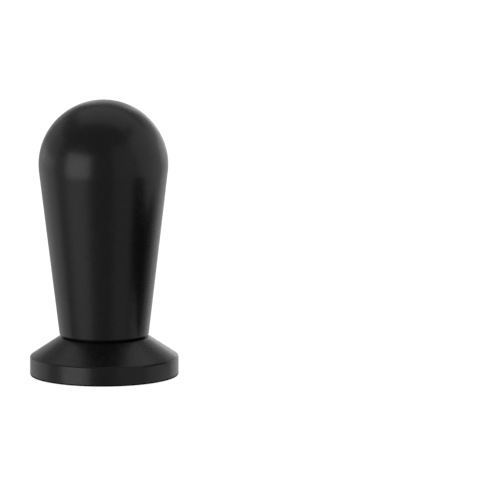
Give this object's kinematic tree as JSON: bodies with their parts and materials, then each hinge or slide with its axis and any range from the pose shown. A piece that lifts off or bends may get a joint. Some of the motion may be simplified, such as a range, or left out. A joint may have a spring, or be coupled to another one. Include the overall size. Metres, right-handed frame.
{
  "type": "cabinet knob",
  "caption": "Slim tapered cabinet knob with a round head; the handle screws onto a small flared foot and takes a furniture screw from behind.",
  "frame": {"origin": "middle of the foot's back, on the plane that rests on the furniture", "axes": "+Z along the knob's own axis, from the furniture out to the round head; the knob is round about Z, so X and Y are free"},
  "size_m": [0.015, 0.015, 0.028],
  "materials": {
    "handle_coat": "satin",
    "foot_coat": "satin",
    "washer_polymer": "matte",
    "sleeve_steel": "satin"
  },
  "bodies": {
    "foot": {"foot": "foot_coat"},
    "washer": {"washer": "washer_polymer"},
    "handle": {"handle": "handle_coat", "threaded_sleeve": "sleeve_steel"}
  },
  "joints": [
    {"name": "handle_lift", "type": "slide", "parent": "foot", "child": "washer", "axis": [0, 0, 1], "range_m": [0, 0.003]},
    {"name": "handle_turn", "type": "hinge", "parent": "washer", "child": "handle", "pos_m": [0, 0, 0], "axis": [0, 0, 1], "range_deg": [0, 1440]}
  ],
  "couplings": [
    {"joint": "handle_lift", "follows": "handle_turn", "m_per_rad": 0.00011937}
  ]
}
